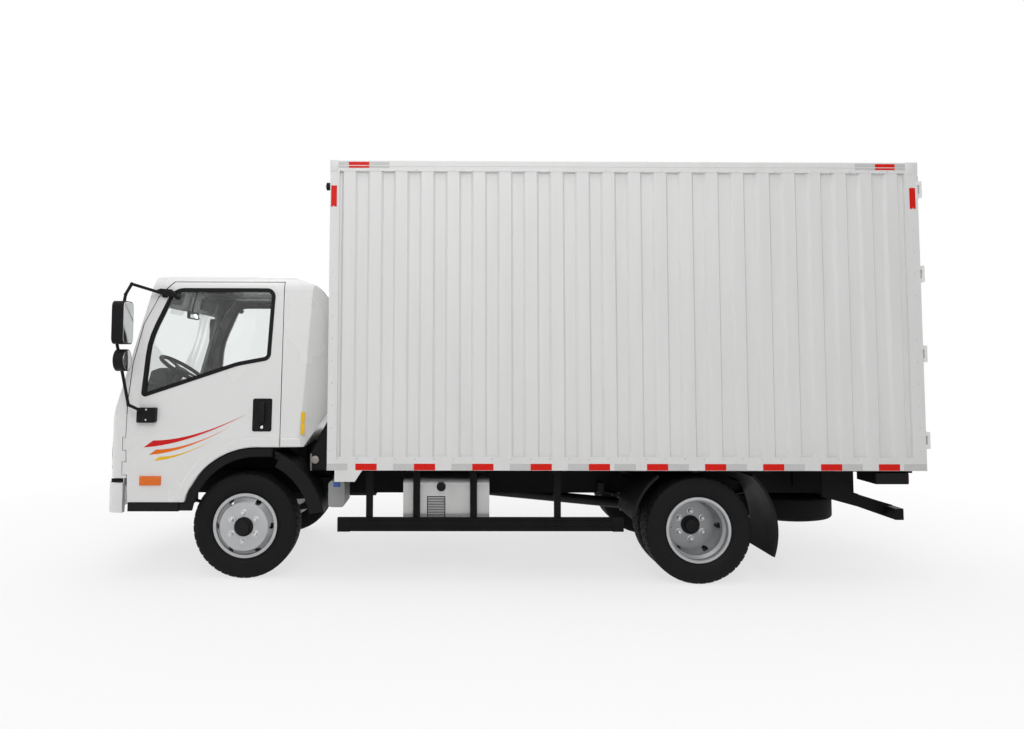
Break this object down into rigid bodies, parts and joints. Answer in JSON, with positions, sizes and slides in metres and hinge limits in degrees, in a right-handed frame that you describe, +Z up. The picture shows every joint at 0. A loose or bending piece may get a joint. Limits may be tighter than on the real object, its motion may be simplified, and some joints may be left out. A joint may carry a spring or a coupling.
{
  "type": "light box truck",
  "caption": "Light cab-over box truck with a tilting cab, steered front wheels, twin rear wheels and a corrugated load box with double rear doors.",
  "frame": {"origin": "on the ground under the middle of the truck", "axes": "+X forward, +Y to the left, +Z up"},
  "size_m": [5.995, 2.35, 3.06],
  "materials": {
    "cab_white": "gloss",
    "box_white": "satin",
    "frame_black": "satin",
    "cast": "matte",
    "spring_steel": "satin",
    "tank_grey": "satin",
    "tank_plastic": "matte",
    "black_plastic": "matte",
    "pipe_steel": "matte",
    "spare": "matte",
    "lamp": "gloss",
    "floor_wood": "matte",
    "lock_steel": "satin",
    "wheel_silver": "satin",
    "wheel_grey": "satin",
    "tyre": "matte",
    "cab_dark": "matte",
    "headlamp": "gloss",
    "glass": "gloss",
    "seat_fabric": "matte"
  },
  "bodies": {
    "chassis": {"chassis_frame": "frame_black", "front_axle": "cast", "rear_axle": "frame_black", "leaf_springs": "spring_steel", "engine_block": "cast", "propshaft": "spring_steel", "fuel_tank": "tank_grey", "urea_tank": "tank_plastic", "battery_box": "black_plastic", "exhaust_canister": "pipe_steel", "side_guards": "frame_black", "front_mudguards": "black_plastic", "rear_mudguards": "black_plastic", "spare_wheel": "spare", "underrun_bar": "frame_black", "body_lamps": "lamp", "box_floor": "floor_wood", "box_side_left": "box_white", "box_side_right": "box_white", "box_front_wall": "box_white", "box_roof": "box_white", "box_rear_frame": "box_white"},
    "knuckle_left": {"knuckle_left": "cast"},
    "knuckle_right": {"knuckle_right": "cast"},
    "tie_rod": {"tie_rod": "spring_steel"},
    "wheel_front_left": {"wheel_front_left": "wheel_silver", "tyre_front_left": "tyre"},
    "wheel_front_right": {"wheel_front_right": "wheel_silver", "tyre_front_right": "tyre"},
    "wheel_rear_left": {"wheel_rear_left": "wheel_grey", "tyre_rear_left": "tyre"},
    "wheel_rear_right": {"wheel_rear_right": "wheel_grey", "tyre_rear_right": "tyre"},
    "cab": {"cab_floor": "cab_dark", "cab_rear": "cab_white", "cab_roof": "cab_white", "cab_front": "cab_white", "front_bumper": "cab_white", "headlamps": "headlamp", "cab_glass": "glass", "dashboard": "cab_dark", "seats": "seat_fabric"},
    "steering_wheel": {"steering_wheel": "black_plastic"},
    "cab_door_left": {"cab_door_left": "cab_white", "door_glass_left": "glass", "door_fittings_left": "black_plastic"},
    "cab_door_right": {"cab_door_right": "cab_white", "door_glass_right": "glass", "door_fittings_right": "black_plastic"},
    "box_door_left": {"box_door_left": "box_white", "box_lock_left": "lock_steel"},
    "box_door_right": {"box_door_right": "box_white", "box_lock_right": "lock_steel"}
  },
  "joints": [
    {"name": "steer_left", "type": "hinge", "parent": "chassis", "child": "knuckle_left", "pos_m": [1.9505, 0.672, 0.3835], "axis": [0, 0, 1], "range_deg": [-35, 35]},
    {"name": "steer_right", "type": "hinge", "parent": "chassis", "child": "knuckle_right", "pos_m": [1.9505, -0.672, 0.3835], "axis": [0, 0, 1], "range_deg": [-35, 35]},
    {"name": "tie_rod_pivot", "type": "hinge", "parent": "knuckle_left", "child": "tie_rod", "pos_m": [1.7805, 0.672, 0.2932], "axis": [0, 0, 1], "range_deg": [-35, 35]},
    {"name": "front_left_spin", "type": "hinge", "parent": "knuckle_left", "child": "wheel_front_left", "pos_m": [1.9505, 0.803, 0.3835], "axis": [0, 1, 0], "continuous": true},
    {"name": "front_right_spin", "type": "hinge", "parent": "knuckle_right", "child": "wheel_front_right", "pos_m": [1.9505, -0.803, 0.3835], "axis": [0, 1, 0], "continuous": true},
    {"name": "rear_left_spin", "type": "hinge", "parent": "chassis", "child": "wheel_rear_left", "pos_m": [-1.3575, 0.834, 0.3835], "axis": [0, 1, 0], "continuous": true},
    {"name": "rear_right_spin", "type": "hinge", "parent": "chassis", "child": "wheel_rear_right", "pos_m": [-1.3575, -0.834, 0.3835], "axis": [0, 1, 0], "continuous": true},
    {"name": "cab_tilt", "type": "hinge", "parent": "chassis", "child": "cab", "pos_m": [2.8105, 0, 0.685], "axis": [0, 1, 0], "range_deg": [0, 45]},
    {"name": "steering_turn", "type": "hinge", "parent": "cab", "child": "steering_wheel", "pos_m": [2.5905, 0.45, 1.53], "axis": [-0.5299, 0, 0.848], "range_deg": [-630, 630]},
    {"name": "cab_door_left_hinge", "type": "hinge", "parent": "cab", "child": "cab_door_left", "pos_m": [2.8315, 0.95, 0.9], "axis": [0, 0, -1], "range_deg": [0, 70]},
    {"name": "cab_door_right_hinge", "type": "hinge", "parent": "cab", "child": "cab_door_right", "pos_m": [2.8315, -0.95, 0.9], "axis": [0, 0, 1], "range_deg": [0, 70]},
    {"name": "box_door_left_hinge", "type": "hinge", "parent": "chassis", "child": "box_door_left", "pos_m": [-2.9895, 1.14, 1.9], "axis": [0, 0, -1], "range_deg": [0, 250]},
    {"name": "box_door_right_hinge", "type": "hinge", "parent": "chassis", "child": "box_door_right", "pos_m": [-2.9895, -1.14, 1.9], "axis": [0, 0, 1], "range_deg": [0, 250]}
  ],
  "couplings": [
    {"joint": "steer_right", "follows": "steer_left", "ratio": 1},
    {"joint": "tie_rod_pivot", "follows": "steer_left", "ratio": -1},
    {"joint": "steering_turn", "follows": "steer_left", "ratio": 18}
  ]
}
